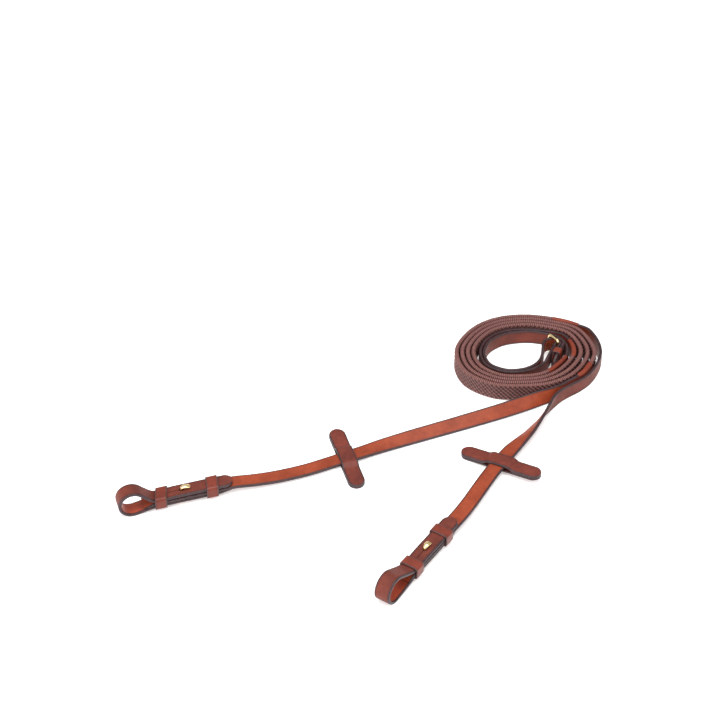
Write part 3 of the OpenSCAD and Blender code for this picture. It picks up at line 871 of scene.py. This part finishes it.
def make_stitches(name, fr, spots, node):
    """each stitch is a short twisted thread, sunk at its ends"""
    verts, faces = [], []
    for (x, y, z, length, up) in spots:
        m, k = 9, 8
        base = len(verts)
        for i in range(m):
            f = i / (m - 1)
            r = 0.30 * math.sqrt(max(0.05, 1 - (2 * f - 1) ** 4))
            zz = z + up * 0.12 * math.sin(math.pi * f)
            for j in range(k):
                a = 2 * math.pi * j / k
                verts.append((x + length * f, y + r * math.cos(a), zz + r * math.sin(a)) if abs(up) < 2 else (x + length * f, y, z))
        for i in range(m - 1):
            for j in range(k):
                a0, a1 = base + i * k + j, base + i * k + (j + 1) % k
                faces.append((a0, a1, a1 + k, a0 + k))
        faces.append(tuple(range(base + k - 1, base - 1, -1)))
        faces.append(tuple(range(base + (m - 1) * k, base + m * k)))
    v = to_row(fr, np.array(verts))
    ob = mesh_piece(name, v, faces, [M_THREAD])
    bm = bmesh.new(); bm.from_mesh(ob.data); bmesh.ops.recalc_face_normals(bm, faces=bm.faces); bm.to_mesh(ob.data); bm.free()
    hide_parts(node)
    return ob


def make_stop(name, origin, rot, node, seed):
    """Rein stop: two thicknesses of leather, the upper one arched over the strap."""
    rx, ry, rz = [math.radians(a) for a in rot]
    cy_, sy_ = math.cos(ry), math.sin(ry)
    cz_, sz_ = math.cos(rz), math.sin(rz)
    Ry = np.array([[cy_, 0, sy_], [0, 1, 0], [-sy_, 0, cy_]])
    Rz = np.array([[cz_, -sz_, 0], [sz_, cz_, 0], [0, 0, 1]])
    M = Rz @ Ry
    half, hw = 42.5, 8.25
    a = np.linspace(0, math.pi / 2, 14)
    xs_tip = (half - hw) + hw * np.sin(a)
    xs = np.concatenate([-xs_tip[::-1][:-1], np.linspace(-(half - hw), half - hw, 56), xs_tip[1:]])
    xs[0], xs[-1] = -half + 0.02, half - 0.02
    wid = np.where(np.abs(xs) > half - hw, np.sqrt(np.clip(hw ** 2 - (np.abs(xs) - (half - hw)) ** 2, 0.04, None)), hw)

    def hump(x, lo, hi):
        f = np.clip((17.0 - np.abs(x)) / 7.0, 0, 1)
        return lo + (hi - lo) * f * f * (3 - 2 * f)

    e1, e2, e3 = M @ np.array([1, 0, 0]), M @ np.array([0, 1, 0]), M @ np.array([0, 0, 1.0])
    o = np.array(origin) - ORG
    parts = []
    for which in (0, 1):
        if which == 0:
            zb = np.zeros_like(xs); zt = np.full_like(xs, 1.5); zt = hump(xs, 2.2, 1.45)
        else:
            zb = hump(xs, 2.25, 5.15); zt = hump(xs, 4.75, 7.45)
        mid, th = (zb + zt) / 2, zt - zb
        n = len(xs)
        p = o + xs[:, None] * e1 + mid[:, None] * e3
        w = np.repeat(e2[None], n, 0)
        g = np.repeat(e3[None], n, 0)
        prof, rim, zone = band_profile(2 * hw, 2.4, 0.85 if which else 0.6, nw=8, nc=4, crown=0.12 if which else 0)
        P = np.repeat(prof[None], n, 0)
        P[:, :, 0] *= (wid / hw)[:, None]
        P[:, :, 1] *= (th / 2.4)[:, None]
        parts.append((p, w, g, P, rim, zone))
    obs = []
    for i, (p, w, g, P, rim, zone) in enumerate(parts):
        ob = sweep(name + ("_lower", "_upper")[i], p, w, g, P, zone, [M_STOP, M_EDGE, M_FLESH], rim)
        obs.append(ob)
    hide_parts(node)
    return obs


# ---- centre buckle
def make_frame(name, node):
    r, h, ln = 1.3, 22.0, 14.4
    fr = local(BAR, FRAME_DIR)
    path, nor = rounded_path((ln / 2, h / 2), ln / 2, h / 2 - r, 2.2, 8)
    pp = []
    m = len(path)
    for i in range(m):
        a, b = path[i], path[(i + 1) % m]
        k = max(1, int(np.linalg.norm(b - a) / 1.5))
        for j in range(k):
            pp.append(a + (b - a) * j / k)
    pp = np.array(pp)
    n = len(pp)
    tan = unit(np.roll(pp, -1, 0) - np.roll(pp, 1, 0))
    o, e1, e2, e3 = fr
    p = to_row(fr, np.stack([pp[:, 0], 0 * pp[:, 0], pp[:, 1]], 1))
    w = np.repeat(e2[None], n, 0)
    nr = np.stack([tan[:, 1], -tan[:, 0]], 1)
    g = nr[:, :1] * e1 + nr[:, 1:2] * e3
    a = np.linspace(0, 2 * math.pi, 16, endpoint=False)
    prof = np.stack([1.3 * np.cos(a), 1.3 * np.sin(a)], 1)
    ob = sweep(name, p, w, g, prof, [0] * 16, [M_BRASS], None, closed=True)
    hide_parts(node)
    return ob


def make_tongue(name, node):
    fr = local(BAR, TONGUE_DIR)
    pts = [(2.0 * math.cos(a), 2.0 * math.sin(a)) for a in np.radians(np.linspace(-20, -340, 26))]
    pts = [(x, y) for x, y in pts] + [(2.6, 0.35), (4, 0.12), (6, 0), (8, 0), (10, 0), (12, 0), (13.6, 0), (14.6, 0), (15.2, 0)]
    P = np.array(pts)
    tan = unit(np.gradient(P, axis=0))
    o, e1, e2, e3 = fr
    n = len(P)
    p = to_row(fr, np.stack([P[:, 0], P[:, 1], np.full(n, 11.0)], 1))
    w = np.repeat(e3[None], n, 0)
    nr = np.stack([-tan[:, 1], tan[:, 0]], 1)
    g = nr[:, :1] * e1 + nr[:, 1:2] * e2
    rad_w = np.interp(np.arange(n), [0, 25, 30, n - 3, n - 1], [1.15, 1.15, 1.0, 0.9, 0.35])
    rad_g = np.interp(np.arange(n), [0, 25, 30, n - 3, n - 1], [0.55, 0.55, 0.9, 0.9, 0.35])
    a = np.linspace(0, 2 * math.pi, 14, endpoint=False)
    prof = np.stack([rad_w[:, None] * np.cos(a), rad_g[:, None] * np.sin(a)], 2)
    ob = sweep(name, p, w, g, prof, [0] * 14, [M_BRASS], None, cap_mat=0)
    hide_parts(node)
    return ob


def make_buckle_keeper(name, node):
    fr = FB
    cz, hz = 11.0, 8.95
    # outline in y (across the stack) and z
    path, nor = rounded_path((-3.85, cz), 3.85, hz, 1.6, 6)
    pp, nn = [], []
    m = len(path)
    for i in range(m):
        a, b = path[i], path[(i + 1) % m]
        k = max(1, int(np.linalg.norm(b - a) / 1.5))
        for j in range(k):
            f = j / k
            pp.append(a + (b - a) * f); nn.append(unit(nor[i] * (1 - f) + nor[(i + 1) % m] * f))
    pp, nn = np.array(pp), np.array(nn)
    n = len(pp)
    o, e1, e2, e3 = fr
    p = to_row(fr, np.stack([np.full(n, -13.25), pp[:, 0], pp[:, 1]], 1))
    w = np.repeat(e1[None], n, 0)
    g = nn[:, :1] * e2 + nn[:, 1:2] * e3
    prof, rim, zone = band_profile(8.5, 1.0, 0.4, nw=5, nc=3)
    ob = sweep(name, p, w, g, prof, zone, [M_CAP, M_EDGE_THIN, M_FLESH], rim, closed=True)
    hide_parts(node)
    return ob


ride_list = []
for side, fr, seed, loop_len, sk in (("left", FL, 11.0, 20.5, (5.0, 3.0)), ("right", FR, 12.0, 30.5, (0.0, 0.0))):
    ride_list.append((make_billet(side + "_bit_billet_leather", fr, side + "_bit_billet", seed, loop_len), "root"))
    ride_list.append((make_stud(side + "_hook_stud_brass", fr, side + "_hook_stud"), "root"))
    ride_list.append((make_keeper(side + "_keeper_front_leather", fr, 0.0, side + "_keeper_front", seed, 13.95, sk[0]), side + "_front_keeper"))
    ride_list.append((make_keeper(side + "_keeper_rear_leather", fr, 50.5, side + "_keeper_rear", seed + 1, 13.95, sk[1]), side + "_rear_keeper"))
    spots = [(35.6 + 4 * i, y, 4.22, 2.6, 0) for y in (-5.5, 5.5) for i in range(10)]
    ride_list.append((make_stitches(side + "_billet_stitching_thread", fr, spots, side + "_billet_stitching"), "root"))
for ob in make_stop("left_rein_stop_leather", (-13, -0.4, 0.2), (0, 0, 106), "left_rein_stop", 21.0):
    ride_list.append((ob, "left_stop"))
for ob in make_stop("right_rein_stop_leather", (137.2, -10.9, 3.1), (0, -4, -30), "right_rein_stop", 22.0):
    ride_list.append((ob, "right_stop"))
ride_list.append((make_frame("centre_buckle_frame_brass", "centre_buckle_frame"), "buckle"))
ride_list.append((make_tongue("centre_buckle_tongue_brass", "centre_buckle_tongue"), "tongue"))
ride_list.append((make_buckle_keeper("buckle_keeper_leather", "buckle_keeper"), "root"))
spots = [(-14.7 + 3.4 * i, 3.8, z, 2.4, 0) for z in (6.0, 16.0) for i in range(3)]
ride_list.append((make_stitches("buckle_stitching_thread", FB, spots, "buckle_stitching"), "root"))
for ob in (right_strap, left_strap, *grips, *caps):
    ride_list.append((ob, "root"))
for ob, body in ride_list:
    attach(ob, body)


# ------------------------------------------------------------------ floor and light
def stage_plane():
    me = bpy.data.meshes.new("floor")
    s = 6.0
    me.from_pydata([(-s, -s, 0), (s, -s, 0), (s, s, 0), (-s, s, 0)], [], [(0, 1, 2, 3)])
    ob = bpy.data.objects.new("floor", me)
    scene.collection.objects.link(ob)
    m = bpy.data.materials.new("floor_white")
    m.use_nodes = True
    b = m.node_tree.nodes["Principled BSDF"]
    b.inputs["Base Color"].default_value = (0.93, 0.93, 0.93, 1)
    b.inputs["Roughness"].default_value = 0.9
    b.inputs["Specular IOR Level"].default_value = 0.1
    b.inputs["Emission Color"].default_value = (1, 1, 1, 1)
    b.inputs["Emission Strength"].default_value = 0.36
    me.materials.append(m)
    return ob


stage_plane()


def area(name, loc, size, power, aim=(0, 0, 0), size_y=None):
    li = bpy.data.lights.new(name, "AREA")
    li.shape = "RECTANGLE"
    li.size = size
    li.size_y = size_y or size
    li.energy = power
    ob = bpy.data.objects.new(name, li)
    ob.location = loc
    d = np.array(aim, float) - np.array(loc, float)
    from mathutils import Vector
    ob.rotation_euler = Vector(d).to_track_quat("-Z", "Y").to_euler()
    scene.collection.objects.link(ob)
    return ob


area("overhead", (0.0, -0.15, 1.7), 1.6, 36)
area("front_left", (-1.3, -1.3, 0.9), 1.2, 26)
area("front_right", (1.3, -1.0, 1.0), 1.0, 9)
wd = bpy.data.worlds.new("world")
wd.use_nodes = True
wd.node_tree.nodes["Background"].inputs[0].default_value = (1, 1, 1, 1)
wd.node_tree.nodes["Background"].inputs[1].default_value = 0.45
scene.world = wd
scene.view_settings.view_transform = "Standard"
scene.view_settings.look = "None"
scene.view_settings.exposure = 0.0
scene.view_settings.gamma = 1.0

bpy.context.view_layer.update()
